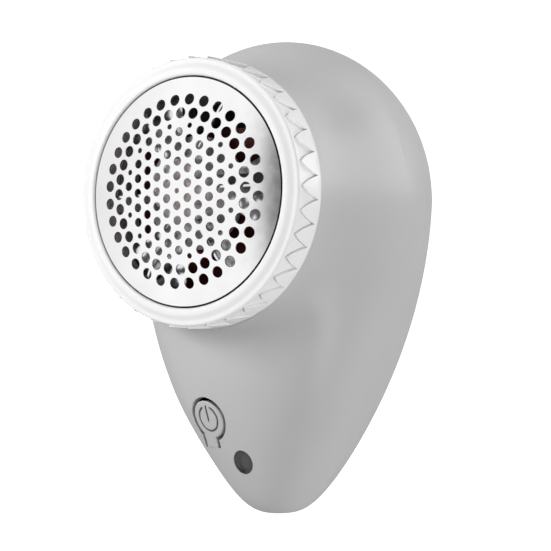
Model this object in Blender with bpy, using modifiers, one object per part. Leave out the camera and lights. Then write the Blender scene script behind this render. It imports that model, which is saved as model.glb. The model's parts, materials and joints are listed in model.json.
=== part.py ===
"""Rechargeable fabric shaver: an egg-shaped housing with a round cutting head on its front.

Frame: +Z up, -Y is the side that the cutting head faces, +X to the right seen from the
front.  The origin is under the middle of the whole object, at the height of the lower tip.
Most places are given in head coordinates: x, the depth behind the crown of the foil, and
the height above the head's axis, all in metres.
"""
import math

import bmesh
import bpy
from mathutils import Matrix, Vector

MM = 0.001
GAP = 0.35 * MM

# ---------------------------------------------------------------- driving dimensions
AXIS_Z = 72.1 * MM            # head axis above the lower tip
CROWN_Y = -39.0 * MM          # front-most point, the crown of the foil

# Housing: an egg about an upright axis, with a round neck for the cutting head
EGG_DEPTH = 42.2 * MM         # the egg's upright axis, behind the crown
EGG_LEAN = 0.027              # backward lean of that axis, per unit of height
EGG_HALF_WIDTH = 34.5 * MM
EGG_BACK = 35.8 * MM
EGG_TOP = 37.9 * MM
EGG_TIP = 72.1 * MM
TIP_POWER, TIP_ROUNDNESS = 1.44, 0.304
WAIST_CUT, WAIST_POWER = 0.433, 2.41
FRONT_SQUARENESS = 2.35
FRONT_SWELL, SWELL_FROM = 0.25, 0.772
WALL = 2.0 * MM
NECK_R = 28.9 * MM
NECK_FILLET = 7.0 * MM
MOUTH = 11.8 * MM             # front edge of the housing's outer skin
PARTING = 63.4 * MM           # the rear cover meets the front shell here
MERIDIANS = 44
TIP_CROWDING = 0.6            # how much closer the meridians lie at the tip than at the top

# Head
FOIL_R = 24.7 * MM
FOIL_SAG = 4.72               # the foil's dome: sag = FOIL_SAG * r squared
FOIL_T = 0.3 * MM
HOLE_PITCH = 3.2 * MM
COLLAR_IN, COLLAR_OUT = 25.4 * MM, 27.1 * MM
COLLAR_FRONT = 5.0 * MM
RING_R = 29.7 * MM
RING_REAR = 11.4 * MM

# Cutter
HUB_R = 7.4 * MM
BLADE_TIP_R = 22.2 * MM
BLADE_COUNT = 6
BLADE_HEIGHT = 3.6 * MM
BLADE_T = 0.6 * MM
SHAFT_R = 1.0 * MM

# Motor
MOTOR_R = 12.0 * MM
MOTOR_FRONT, MOTOR_REAR = 17.4 * MM, 45.6 * MM

# Battery and board
CELL_R = 7.0 * MM
CELL_DEPTH = 44.0 * MM
CELL_TOP, CELL_BOTTOM = -16.6 * MM, -58.8 * MM
BOARD_FRONT = 32.4 * MM
BOARD_T = 1.2 * MM

# Lint bin, a drawer above the motor
BIN_HALF_WIDTH = 12.0 * MM
BIN_LOW, BIN_HIGH = 12.8 * MM, 23.2 * MM
BIN_FRONT = 17.4 * MM
BIN_WALL = 1.2 * MM

# Controls on the lower front
BUTTON_X, BUTTON_HEIGHT = -6.0 * MM, -50.0 * MM
BUTTON_R = 4.4 * MM
BUTTON_NECK_HALF = 1.4 * MM
BUTTON_NECK_END = 6.65 * MM
SLOT_MARGIN = 0.7 * MM
LENS_X, LENS_HEIGHT = 0.6 * MM, -59.9 * MM
LENS_R = 2.4 * MM
LENS_HOLE_R = 2.7 * MM
LED_RISE = 2.2                # the lamp sits this far above the lens, in mm

# Cover screws: (x, height, depth of the seat under the head), in mm
COVER_SCREWS = ((19.0, 3.0, 66.6), (-19.0, 3.0, 66.6), (11.0, -33.0, 65.6), (-11.0, -33.0, 65.6))
BOSS_R = 3.2                  # in mm, as are the three below
SCREW_HOLE_R = 1.5
SCREW_HEAD_HOLE_R = 2.4
MOTOR_SCREW_X = 8.0

PARTS, CUTTERS = "fabric_shaver", "fabric_shaver_cutters"

# ---------------------------------------------------------------- scene helpers


def clear_scene():
    for obj in list(bpy.data.objects):
        bpy.data.objects.remove(obj, do_unlink=True)
    for name in (PARTS, CUTTERS):
        bpy.context.scene.collection.children.link(bpy.data.collections.new(name))


def material(name, colour, roughness, metallic=0.0):
    mat = bpy.data.materials.get(name) or bpy.data.materials.new(name)
    mat.use_nodes = True
    shader = mat.node_tree.nodes["Principled BSDF"]
    shader.inputs["Base Color"].default_value = (*colour, 1.0)
    shader.inputs["Roughness"].default_value = roughness
    shader.inputs["Metallic"].default_value = metallic
    return mat


def place(x, depth, height):
    """A point in head coordinates, as a world position."""
    return Vector((x, CROWN_Y + depth, AXIS_Z + height))


def add_object(name, mesh, mat=None, cutter=False):
    obj = bpy.data.objects.new(name, mesh)
    bpy.data.collections[CUTTERS if cutter else PARTS].objects.link(obj)
    if mat:
        mesh.materials.append(mat)
    if cutter:
        obj.hide_render = True
        obj.display_type = "WIRE"
    return obj


def smooth(obj, angle=35):
    obj.data.shade_smooth()
    obj.data.set_sharp_from_angle(angle=math.radians(angle))


def turned(name, profile, steps, mat=None, cutter=False, axis_at=(0.0, 0.0)):
    """A turned piece about an axis parallel to the head's.

    The profile holds (radius, depth) pairs in mm, from the front inner corner outward and
    round to the back.  It is closed unless it starts and ends on the axis.
    """
    mesh = bpy.data.meshes.new(name)
    points = [(r * MM, 0.0, -depth * MM) for r, depth in profile]
    edges = [(i, i + 1) for i in range(len(points) - 1)]
    if profile[0][0] > 0:
        edges.append((len(points) - 1, 0))
    mesh.from_pydata(points, edges, [])
    obj = add_object(name, mesh, mat, cutter)
    obj.location = place(axis_at[0], 0.0, axis_at[1])
    obj.rotation_euler = (math.radians(90), 0.0, 0.0)
    screw = obj.modifiers.new("turn", "SCREW")
    screw.steps = screw.render_steps = steps
    screw.use_merge_vertices = True
    screw.merge_threshold = 0.00001
    screw.use_smooth_shade = True
    return obj


def box(name, low, high, mat=None, cutter=False, bevel=0.0):
    """A box between two corners in head coordinates, in mm."""
    low, high = Vector(low) * MM, Vector(high) * MM
    bm = bmesh.new()
    bmesh.ops.create_cube(bm, size=1.0)
    bmesh.ops.scale(bm, vec=high - low, verts=bm.verts)
    mesh = bpy.data.meshes.new(name)
    bm.to_mesh(mesh)
    bm.free()
    obj = add_object(name, mesh, mat, cutter)
    obj.location = place(*((low + high) / 2))
    if bevel:
        edge = obj.modifiers.new("bevel", "BEVEL")
        edge.width = bevel * MM
        edge.segments = 2
    return obj


def rod(name, radius, start, end, sides, mat=None, cutter=False):
    """A cylinder between two points in head coordinates, in mm."""
    start, end = Vector(start) * MM, Vector(end) * MM
    bm = bmesh.new()
    length = (end - start).length
    bmesh.ops.create_cone(
        bm, cap_ends=True, segments=sides, radius1=radius * MM, radius2=radius * MM, depth=length
    )
    mesh = bpy.data.meshes.new(name)
    bm.to_mesh(mesh)
    bm.free()
    obj = add_object(name, mesh, mat, cutter)
    obj.location = place(*((start + end) / 2))
    obj.rotation_mode = "QUATERNION"
    obj.rotation_quaternion = (end - start).to_track_quat("Z", "Y")
    smooth(obj)
    return obj


def outline_prism(name, loops, thickness, mat=None, cutter=False):
    """A flat outline with holes, extruded along local Z.  Each loop is a list of (x, y)."""
    curve = bpy.data.curves.new(name, "CURVE")
    curve.dimensions = "2D"
    curve.fill_mode = "BOTH"
    curve.extrude = thickness / 2
    for loop in loops:
        spline = curve.splines.new("POLY")
        spline.points.add(len(loop) - 1)
        for point, (x, y) in zip(spline.points, loop):
            point.co = (x, y, 0.0, 1.0)
        spline.use_cyclic_u = True
    temporary = bpy.data.objects.new(name + "_curve", curve)
    bpy.context.scene.collection.objects.link(temporary)
    bpy.context.view_layer.update()
    evaluated = temporary.evaluated_get(bpy.context.evaluated_depsgraph_get())
    mesh = bpy.data.meshes.new_from_object(evaluated)
    bpy.data.objects.remove(temporary, do_unlink=True)
    bm = bmesh.new()
    bm.from_mesh(mesh)
    bmesh.ops.remove_doubles(bm, verts=bm.verts, dist=0.000001)
    bmesh.ops.recalc_face_normals(bm, faces=bm.faces)
    bm.to_mesh(mesh)
    bm.free()
    mesh.name = name
    mesh.materials.clear()
    return add_object(name, mesh, mat, cutter)


def wire(name, route, radius, mat):
    """A round wire along a smooth curve through a few places in head coordinates, in mm."""
    curve = bpy.data.curves.new(name, "CURVE")
    curve.dimensions = "3D"
    curve.bevel_depth = radius * MM
    curve.bevel_resolution = 1
    curve.use_fill_caps = True
    spline = curve.splines.new("POLY")
    points = [place(*(Vector(p) * MM)) for p in smooth_route(route, 3)]
    spline.points.add(len(points) - 1)
    for point, co in zip(spline.points, points):
        point.co = (*co, 1.0)
    obj = bpy.data.objects.new(name, curve)
    bpy.data.collections[PARTS].objects.link(obj)
    curve.materials.append(mat)
    return obj


def smooth_route(route, steps):
    """Catmull-Rom points through the places of a route."""
    places = [Vector(route[0]), *map(Vector, route), Vector(route[-1])]
    points = []
    for a, b, c, d in zip(places, places[1:], places[2:], places[3:]):
        for i in range(steps):
            t = i / steps
            points.append(
                0.5 * (2 * b + (c - a) * t + (2 * a - 5 * b + 4 * c - d) * t**2
                       + (3 * b - a - 3 * c + d) * t**3)
            )
    points.append(places[-1])
    return points


def boolean(obj, operation, *operands):
    for operand in operands:
        cut = obj.modifiers.new(operand.name, "BOOLEAN")
        cut.operation = operation
        cut.object = operand
        cut.solver = "EXACT"


# ---------------------------------------------------------------- the egg's surface


def smoothstep(low, high, value):
    t = min(max((value - low) / (high - low), 0.0), 1.0)
    return t * t * (3 - 2 * t)


def egg_reach(point, inset):
    """How far a point is outside (+) or inside (-) the egg, set inward by inset."""
    x, depth, height = point
    top, tip = EGG_TOP - inset, EGG_TIP - 1.2 * inset
    if height >= top or height <= -tip:
        return 1.0
    t = max(-height / tip, 0.0)
    if height >= 0:
        width = math.sqrt(1 - (height / top) ** 2)
    else:
        width = (1 - t**TIP_POWER) ** TIP_ROUNDNESS * (1 - WAIST_CUT * t**WAIST_POWER)
    front = smoothstep(0.15, 0.5, t)
    dy = depth - EGG_DEPTH - EGG_LEAN * height
    if dy < 0:
        power = 2 + (FRONT_SQUARENESS - 2) * front * (1 - smoothstep(0.6, 0.9, t))
        reach = (EGG_HALF_WIDTH - inset) * (1 + FRONT_SWELL * (t - SWELL_FROM) * front)
    else:
        power, reach = 2.0, EGG_BACK - inset
    across = abs(x) / (EGG_HALF_WIDTH - inset)
    return (across**power + (abs(dy) / reach) ** power) ** (1 / power) - width


def bisect(low, high, test):
    """The value between low and high where test turns from negative to positive."""
    for _ in range(40):
        middle = (low + high) / 2
        if test(middle) < 0:
            low = middle
        else:
            high = middle
    return (low + high) / 2


def body_point(meridian, swing, inset=0.0):
    """The housing's skin seen from the egg's centre.

    meridian turns round the head's axis, from 0 at the top; swing is the angle from
    straight ahead.  The neck is a cylinder about the head's axis, blended into the egg.
    """
    ray = Vector((math.sin(swing) * math.sin(meridian), -math.cos(swing),
                  math.sin(swing) * math.cos(meridian)))
    centre = Vector((0.0, EGG_DEPTH, 0.0))
    distance = bisect(5 * MM, 90 * MM, lambda s: egg_reach(centre + ray * s, inset))
    if swing < math.radians(88):
        tube = (NECK_R - inset) / math.sin(swing)
        blend = max(NECK_FILLET - abs(distance - tube), 0.0) / NECK_FILLET
        distance = max(distance, tube) + blend * blend * NECK_FILLET / 4
    return centre + ray * distance


def swing_at_depth(meridian, depth, inset):
    return bisect(
        math.radians(30), math.radians(175),
        lambda swing: body_point(meridian, swing, inset)[1] - depth,
    )


def meridians():
    turns = [2 * math.pi * i / MERIDIANS for i in range(MERIDIANS)]
    return [turn + TIP_CROWDING * math.sin(turn) for turn in turns]


def even_points(points, count):
    """Count + 1 of the points, spaced by the length and the turning of their path."""
    reach = [0.0]
    for before, here, after in zip([points[0], *points], points, [*points[1:], points[-1]]):
        step, following = here - before, after - here
        bend = step.angle(following, 0.0) if step.length and following.length else 0.0
        reach.append(reach[-1] + step.length + 9 * MM * bend)
    reach = reach[1:]
    picked = []
    for i in range(count + 1):
        goal = reach[-1] * i / count
        after = next(k for k, value in enumerate(reach) if value >= goal - 1e-9)
        before = max(after - 1, 0)
        share = (goal - reach[before]) / (reach[after] - reach[before]) if after > before else 0.0
        picked.append(points[before].lerp(points[after], share))
    return picked


def skin_rows(depth_from, depth_to, rows, inset):
    """Rings of points on the skin, from one depth to another."""
    columns = []
    fine = 8 * rows
    for m in meridians():
        start, end = swing_at_depth(m, depth_from, inset), swing_at_depth(m, depth_to, inset)
        path = [body_point(m, start + (end - start) * i / fine, inset) for i in range(fine + 1)]
        columns.append(even_points(path, rows))
    return [list(row) for row in zip(*columns)]


def circle_row(radius, depth):
    return [Vector((radius * math.sin(m), depth, radius * math.cos(m))) for m in meridians()]


def loft(name, rows, mat=None, cutter=False, first_pole=None, last_pole=None, loop=False):
    """A closed skin through rings of points, ended by poles or joined end to end."""
    bm = bmesh.new()
    rings = [[bm.verts.new(place(*p)) for p in row] for row in rows]
    pairs = list(zip(rings, rings[1:])) + ([(rings[-1], rings[0])] if loop else [])
    for one, two in pairs:
        for i in range(len(one)):
            j = (i + 1) % len(one)
            bm.faces.new((one[i], one[j], two[j], two[i]))
    for pole, ring in ((first_pole, rings[0]), (last_pole, rings[-1])):
        if pole is not None:
            tip = bm.verts.new(place(*pole))
            for i in range(len(ring)):
                bm.faces.new((ring[i], ring[(i + 1) % len(ring)], tip))
    bmesh.ops.recalc_face_normals(bm, faces=bm.faces)
    mesh = bpy.data.meshes.new(name)
    bm.to_mesh(mesh)
    bm.free()
    obj = add_object(name, mesh, mat, cutter)
    smooth(obj, 40)
    return obj


def skin_normal(x, height):
    """The lower front's surface point and outward normal at x and height."""

    def depth_at(px, pz):
        return bisect(0.0, EGG_DEPTH, lambda d: -egg_reach(Vector((px, d, pz)), 0.0))

    step = 0.5 * MM
    slope_x = (depth_at(x + step, height) - depth_at(x - step, height)) / (2 * step)
    slope_z = (depth_at(x, height + step) - depth_at(x, height - step)) / (2 * step)
    return Vector((x, depth_at(x, height), height)), Vector((slope_x, -1.0, slope_z)).normalized()


def tangent_frame(x, height):
    """A matrix whose origin is on the skin, with Y up the skin and Z out of it."""
    point, out = skin_normal(x, height)
    up = (Vector((0, 0, 1)) - out * out.z).normalized()
    right = up.cross(out)
    frame = Matrix((right, up, out)).transposed().to_4x4()
    frame.translation = place(*point)
    return frame


# ---------------------------------------------------------------- housing


def keyhole(radius, neck_half, neck_end):
    """A round tab with a short straight neck below it."""
    start = math.asin(neck_half / radius)
    arc = [
        (radius * math.sin(a), -radius * math.cos(a))
        for a in (start + (2 * math.pi - 2 * start) * i / 24 for i in range(25))
    ]
    return [(neck_half, -neck_end), *arc, (-neck_half, -neck_end)]


def make_front_shell(mat):
    inner_depth = 14.0 * MM       # where the wall's inside meets the collar's bore
    rows = skin_rows(PARTING, inner_depth, 11, WALL)
    rows += [
        circle_row(COLLAR_IN, inner_depth - 0.8 * MM),
        circle_row(COLLAR_IN, COLLAR_FRONT),
        circle_row(COLLAR_OUT, COLLAR_FRONT),
        circle_row(COLLAR_OUT, MOUTH),
    ]
    rows += skin_rows(MOUTH, PARTING, 16, 0.0)
    shell = loft("front_shell", rows, mat, loop=True)

    for i, (x, height, _) in enumerate(COVER_SCREWS):
        side = 1 if x > 0 else -1
        wall_x = 27.8 if height > 0 else 19.2
        front = 50.5 if height > 0 else 53.0
        post = rod(f"boss_{i}", BOSS_R, (x, front, height), (x, 63.2, height), 12, cutter=True)
        web = box(
            f"boss_web_{i}",
            (min(x, side * wall_x), front + 0.5, height - 0.9),
            (max(x, side * wall_x), 61.5, height + 0.9),
            cutter=True,
        )
        pilot = rod(f"pilot_{i}", SCREW_HOLE_R, (x, 57.0, height), (x, 64.0, height), 10, cutter=True)
        boolean(shell, "UNION", post, web)
        boolean(shell, "DIFFERENCE", pilot)

    slot = outline_prism(
        "button_slot",
        [keyhole(BUTTON_R + SLOT_MARGIN, BUTTON_NECK_HALF + SLOT_MARGIN, BUTTON_NECK_END + GAP)],
        10 * MM, cutter=True,
    )
    slot.matrix_world = tangent_frame(BUTTON_X, BUTTON_HEIGHT)
    hole = outline_prism("lens_hole", [circle(LENS_HOLE_R, 20)], 10 * MM, cutter=True)
    hole.matrix_world = tangent_frame(LENS_X, LENS_HEIGHT)
    boolean(shell, "DIFFERENCE", slot, hole)
    return shell


def circle(radius, sides):
    return [
        (radius * math.cos(2 * math.pi * i / sides), radius * math.sin(2 * math.pi * i / sides))
        for i in range(sides)
    ]


def make_rear_cover(mat):
    parting = PARTING + GAP
    pole_swing = math.pi
    outer = skin_rows(parting, EGG_DEPTH + EGG_BACK - 0.6 * MM, 5, 0.0)
    inner = skin_rows(parting, EGG_DEPTH + EGG_BACK - WALL - 0.6 * MM, 4, WALL)
    cover = loft(
        "rear_cover", inner[::-1] + outer, mat,
        first_pole=body_point(0.0, pole_swing, WALL), last_pole=body_point(0.0, pole_swing),
    )
    for i, (x, height, seat) in enumerate(COVER_SCREWS):
        wall = 70.2 if height > 0 else 67.2
        post = rod(f"cover_boss_{i}", BOSS_R, (x, 63.9, height), (x, wall, height), 12, cutter=True)
        head = rod(
            f"cover_head_{i}", SCREW_HEAD_HOLE_R, (x, seat, height), (x, 80.0, height), 12, cutter=True
        )
        hole = rod(f"cover_hole_{i}", SCREW_HOLE_R, (x, 60.0, height), (x, 75.0, height), 10, cutter=True)
        boolean(cover, "UNION", post)
        boolean(cover, "DIFFERENCE", head, hole)
    margin = GAP / MM
    window = box(
        "bin_window",
        (-BIN_HALF_WIDTH / MM - margin, 55.0, BIN_LOW / MM - margin),
        (BIN_HALF_WIDTH / MM + margin, 85.0, BIN_HIGH / MM + margin),
        cutter=True,
    )
    port = box("charging_port", (-4.9, 55.0, -41.9), (4.9, 85.0, -37.9), cutter=True)
    boolean(cover, "DIFFERENCE", window, port)
    return cover


def make_cover_screws(mat):
    for i, (x, height, seat) in enumerate(COVER_SCREWS):
        gap = GAP / MM
        profile = [
            (0, -seat - 1.9), (1.2, -seat - 1.9), (2.0, -seat - 1.4), (2.0, -seat - gap),
            (1.05, -seat - gap), (1.05, -58.2), (0.5, -57.6), (0, -57.6),
        ]
        backward = [(r, -depth) for r, depth in reversed(profile)]
        turned(f"cover_screw_{i + 1}", backward, 12, mat, axis_at=(x * MM, height * MM))


def make_lint_bin(mat):
    """A drawer whose back is part of the egg's skin."""
    outer = skin_rows(PARTING - 3 * MM, EGG_DEPTH + EGG_BACK - 0.6 * MM, 7, 0.0)
    cap = loft(
        "bin_cap", outer, cutter=True,
        first_pole=(0.0, PARTING - 50 * MM, 0.0), last_pole=body_point(0.0, math.pi),
    )
    half, low, high, front = (v / MM for v in (BIN_HALF_WIDTH, BIN_LOW, BIN_HIGH, BIN_FRONT))
    wall = BIN_WALL / MM
    drawer = box("lint_bin", (-half, front, low), (half, 85.0, high), mat)
    back = box("bin_back", (-40, 62.0, -40), (40, 90.0, 40), cutter=True)
    boolean(back, "DIFFERENCE", cap)
    inside = box(
        "bin_inside", (-half + wall, front - 5, low + wall), (half - wall, 66.5, high - wall), cutter=True
    )
    scoop = rod("bin_scoop", 3.0, (-5, 76.2, low - 0.4), (5, 76.2, low - 0.4), 16, cutter=True)
    boolean(drawer, "DIFFERENCE", back, inside, scoop)
    return drawer


def make_button(mat):
    """The moulded tab: a slice of the front skin, cut free round its edge, with a post."""
    outer = skin_rows(MOUTH, PARTING, 16, 0.0)
    inner = skin_rows(PARTING, MOUTH, 11, WALL - 0.3 * MM)
    slab = loft("button_slab", inner + outer, cutter=True, loop=True)
    frame = tangent_frame(BUTTON_X, BUTTON_HEIGHT)
    button = outline_prism(
        "power_button", [keyhole(BUTTON_R, BUTTON_NECK_HALF, BUTTON_NECK_END)], 8 * MM, mat
    )
    button.matrix_world = frame
    boolean(button, "INTERSECT", slab)
    point, _ = skin_normal(BUTTON_X, BUTTON_HEIGHT)
    x, depth, height = point / MM
    post = rod("button_post", 1.4, (x, depth + 1.2, height), (x, 26.8, height), 12, cutter=True)
    boolean(button, "UNION", post)
    return button


def make_lens(mat):
    window = LENS_R / MM
    lens = turned(
        "indicator_lens",
        [
            (0, 0.9), (window - 0.3, 0.9), (window, 1.2), (window, 3.2), (3.2, 3.2), (3.2, 4.0), (1.2, 4.0),
            (1.0, 4.5), (0, 4.5),
        ],
        20, mat,
    )
    lens.matrix_world = tangent_frame(LENS_X, LENS_HEIGHT)
    return lens


# ---------------------------------------------------------------- cutting head


def foil_holes():
    """The perforations as (x, z, radius): two outer rings, and a hexagonal field inside."""
    holes = []
    for count, ring_r, start in ((32, 19.98, 5.625), (32, 16.96, 0.0)):
        for i in range(count):
            a = math.radians(start + 360 / count * i)
            holes.append((ring_r * MM * math.sin(a), ring_r * MM * math.cos(a), 1.235 * MM))
    rows_in_column = (4.0, 3.5, 4.0, 3.5, 2.0, 0.5)
    for column in range(-5, 6):
        top = rows_in_column[abs(column)]
        for i in range(int(2 * top) + 1):
            x, z = column * math.sqrt(0.75) * HOLE_PITCH, (top - i) * HOLE_PITCH
            radius = 0.6 if x == z == 0 else 0.99
            holes.append((x, z, radius * MM))
    for column, row in ((1, 4.5), (4, 3.0), (5, 1.5)):
        a = math.atan2(column * math.sqrt(0.75), row)
        for sx in (1, -1):
            for sz in (1, -1):
                r = 14.32 * MM
                holes.append((sx * r * math.sin(a), sz * r * math.cos(a), 0.6 * MM))
    return holes


def make_foil(mat):
    """A thin disc with its perforations, pressed into a shallow dome."""
    loops = [circle(FOIL_R, 48)]
    for x, z, radius in foil_holes():
        loops.append([(x + px, z + py) for px, py in circle(radius, 6)])
    foil = outline_prism("foil", loops, FOIL_T, mat)
    bm = bmesh.new()
    bm.from_mesh(foil.data)
    flats = [face for face in bm.faces if abs(face.normal.z) > 0.9]
    inner_edges = [e for e in bm.edges if all(abs(face.normal.z) > 0.9 for face in e.link_faces)]
    bmesh.ops.beautify_fill(bm, faces=flats, edges=inner_edges)
    for vertex in bm.verts:
        x, z, thick = vertex.co
        vertex.co = (x, FOIL_SAG * (x * x + z * z) + FOIL_T / 2 - thick, z)
    bmesh.ops.recalc_face_normals(bm, faces=bm.faces)
    bm.to_mesh(foil.data)
    bm.free()
    foil.location = place(0.0, 0.0, 0.0)
    return foil


def make_head(white, black, plastic):
    ring, rear = RING_R / MM, RING_REAR / MM
    turned(
        "cap_ring",
        [
            (25.4, 3.0), (25.7, 2.6), (26.9, 2.6), (28.0, 3.4), (ring - 0.5, 4.1), (ring - 0.1, 5.2),
            (ring, rear - 0.4), (ring - 0.3, rear), (27.6, rear), (27.6, 4.3), (25.4, 3.6),
        ],
        40, white,
    )
    turned(
        "foil_gasket",
        [(25.05, 3.95), (26.7, 4.2), (26.7, 4.65), (25.05, 4.65)],
        32, black,
    )
    turned(
        "foil_carrier",
        [(23.0, 3.5), (24.6, 3.6), (25.0, 5.3), (25.0, 9.5), (23.6, 9.5), (23.6, 5.0), (23.0, 4.5)],
        32, plastic,
    )


def make_chamber(mat):
    cup = turned(
        "cutter_chamber",
        [
            (23.4, 9.9), (25.0, 9.9), (25.0, 14.4), (26.4, 14.4), (26.4, 16.0), (24.6, 17.0), (3.3, 17.0),
            (3.3, 15.4), (22.6, 15.4), (23.4, 14.6),
        ],
        32, mat,
    )
    exit_window = box("lint_exit", (-9.0, 15.0, 14.6), (9.0, 18.0, 20.6), cutter=True)
    boolean(cup, "DIFFERENCE", exit_window)
    for i, side in enumerate((-1, 1)):
        x = MOTOR_SCREW_X * side
        hole = rod(f"motor_hole_{i}", SCREW_HOLE_R, (x, 10, 0), (x, 18.0, 0), 10, cutter=True)
        boolean(cup, "DIFFERENCE", hole)
    return cup


def blade_edge_depth(radius):
    """Depth of a blade's cutting edge, just behind the foil, in mm."""
    return FOIL_SAG * (radius * MM) ** 2 / MM + FOIL_T / MM + 0.35


def make_cutter(steel, blade_steel, hub_plastic, brass):
    hub, shaft, bore = HUB_R / MM, SHAFT_R / MM, (SHAFT_R + GAP) / MM
    turned(
        "blade_hub",
        [
            (0, 0.9), (4.5, 1.0), (hub - 0.8, 1.3), (hub, 2.2), (hub, 6.4), (12.5, 6.6), (12.5, 7.8),
            (5.0, 8.2), (4.2, 12.4), (bore, 12.4), (bore, 3.4), (0, 3.4),
        ],
        24, hub_plastic,
    )
    steps = 6
    radii = [7.8 + (BLADE_TIP_R / MM - 7.8) * i / steps for i in range(steps + 1)]
    front = [(r, blade_edge_depth(r)) for r in radii]
    back = [(r, min(blade_edge_depth(r) + BLADE_HEIGHT / MM, 6.2)) for r in reversed(radii)]
    for i in range(BLADE_COUNT):
        blade = outline_prism(
            f"blade_{i + 1}", [[(r * MM, -depth * MM) for r, depth in front + back]], BLADE_T, blade_steel
        )
        blade.location = place(0.0, 0.0, 0.0)
        spin = Matrix.Rotation(math.radians(360 / BLADE_COUNT * i), 4, "Y")
        blade.matrix_world = (
            Matrix.Translation(place(0.0, 0.0, 0.0)) @ spin @ Matrix.Rotation(math.pi, 4, "X")
        )
    turned("drive_shaft", [(0, 3.8), (shaft, 3.8), (shaft, 47.8), (0, 47.8)], 12, steel)
    turned(
        "armature",
        [(bore, 22.0), (8.0, 22.0), (8.0, 37.0), (bore, 37.0)],
        16, steel,
    )
    turned(
        "commutator",
        [(bore, 39.0), (3.2, 39.0), (3.2, 43.5), (bore, 43.5)],
        12, brass,
    )


def make_motor(can_steel, black, magnet_mat, bronze, screw_steel):
    can_r, front, rear, bore = MOTOR_R / MM, MOTOR_FRONT / MM, MOTOR_REAR / MM, (SHAFT_R + GAP) / MM
    cap_front = rear + GAP / MM
    can = turned(
        "motor_can",
        [
            (3.3, front), (can_r - 0.6, front), (can_r, front + 0.6), (can_r, rear), (can_r - 0.8, rear),
            (can_r - 0.8, front + 1.2), (3.3, front + 1.2),
        ],
        28, can_steel,
    )
    for i, side in enumerate((-1, 1)):
        x = MOTOR_SCREW_X * side
        hole = rod(f"can_hole_{i}", SCREW_HOLE_R, (x, 16.5, 0), (x, 19.5, 0), 10, cutter=True)
        boolean(can, "DIFFERENCE", hole)
        turned(
            f"motor_screw_{i + 1}",
            [(0, 13.8), (1.4, 13.8), (2.0, 14.3), (2.0, 15.05), (1.1, 15.05), (1.1, 20.2), (0, 20.2)],
            10, screw_steel, axis_at=(x * MM, 0.0),
        )
    turned(
        "motor_end_cap",
        [(1.4, cap_front), (11.9, cap_front), (11.9, 47.4), (6.0, 49.0), (1.4, 49.0)],
        28, black,
    )
    turned("front_bush", [(bore, 16.2), (2.9, 16.2), (2.9, 20.0), (bore, 20.0)], 14, bronze)
    for name, middle in (("magnet_right", 90), ("magnet_left", 270)):
        half_turn = 55
        turns = [math.radians(middle - half_turn + 2 * half_turn * i / 10) for i in range(11)]
        outer = [(10.8 * MM * math.sin(a), 10.8 * MM * math.cos(a)) for a in turns]
        inner = [(8.6 * MM * math.sin(a), 8.6 * MM * math.cos(a)) for a in reversed(turns)]
        magnet = outline_prism(name, [outer + inner], 17 * MM, magnet_mat)
        magnet.location = place(0.0, 29.5 * MM, 0.0)
        magnet.rotation_euler = (math.radians(90), 0.0, 0.0)


# ---------------------------------------------------------------- battery and electronics


def upright_disc(name, radius, depth, low, high, sides, mat):
    return rod(name, radius, (0, depth, low), (0, depth, high), sides, mat)


def make_battery(wrap, nickel, plastic):
    depth = CELL_DEPTH / MM
    low, high = CELL_BOTTOM / MM, CELL_TOP / MM
    upright_disc("battery_cell", CELL_R / MM, depth, low, high, 24, wrap)
    upright_disc("battery_contact_top", 4.5, depth, high + 0.35, high + 1.0, 16, nickel)
    upright_disc("battery_contact_bottom", 4.5, depth, low - 1.0, low - 0.35, 16, nickel)
    turns = [math.radians(-115 + 230 * i / 16) for i in range(17)]
    outer = [(8.7 * MM * math.sin(a), -8.7 * MM * math.cos(a)) for a in turns]
    inner = [(7.35 * MM * math.sin(a), -7.35 * MM * math.cos(a)) for a in reversed(turns)]
    cradle = outline_prism("battery_cradle", [outer + inner], 12 * MM, plastic)
    cradle.location = place(0.0, CELL_DEPTH, -27.0 * MM)
    return cradle


def make_electronics(green, black, grey, steel, led_mat, red, dark):
    front = BOARD_FRONT / MM
    button, _ = skin_normal(BUTTON_X, BUTTON_HEIGHT)
    x, _, height = button / MM
    box("circuit_board", (-8.6, front, -61.4), (6.5, front + BOARD_T / MM, -37.0), green)
    box("switch_body", (x - 3, 29.0, height - 3), (x + 3, front - GAP / MM, height + 3), black, bevel=0.3)
    rod("switch_plunger", 1.7, (x, 27.2, height), (x, 28.6, height), 12, grey)
    lens, _ = skin_normal(LENS_X, LENS_HEIGHT)
    lens_x, lens_z = lens.x / MM, lens.z / MM + LED_RISE
    turned(
        "status_led",
        [
            (0, 30.1), (0.7, 30.2), (1.3, 30.7), (1.3, 31.4), (1.6, 31.4), (1.6, front - GAP / MM),
            (0, front - GAP / MM),
        ],
        12, led_mat, axis_at=(lens_x * MM, lens_z * MM),
    )
    socket = box("usb_socket", (-4.45, 59.4, -41.5), (4.45, 66.4, -38.3), steel, bevel=0.15)
    mouth = box("usb_mouth", (-3.9, 60.4, -41.0), (3.9, 68.0, -38.8), cutter=True)
    boolean(socket, "DIFFERENCE", mouth)
    box("charge_board", (-6.5, 53.0, -43.1), (6.5, 63.0, -41.9), green)
    wire("motor_lead_red", ((5, 49.6, 1), (9, 51.5, -4), (11.2, 50, -14), (11.2, 44, -22), (11, 38, -30),
                            (7.6, 34.6, -38)), 0.6, red)
    wire("motor_lead_black", ((-5, 49.6, 1), (-9, 51.5, -4), (-11.2, 50, -14), (-11.2, 44, -22),
                              (-11, 38, -30), (-7.6, 34.6, -38)), 0.6, dark)


# ---------------------------------------------------------------- assembly


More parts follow.
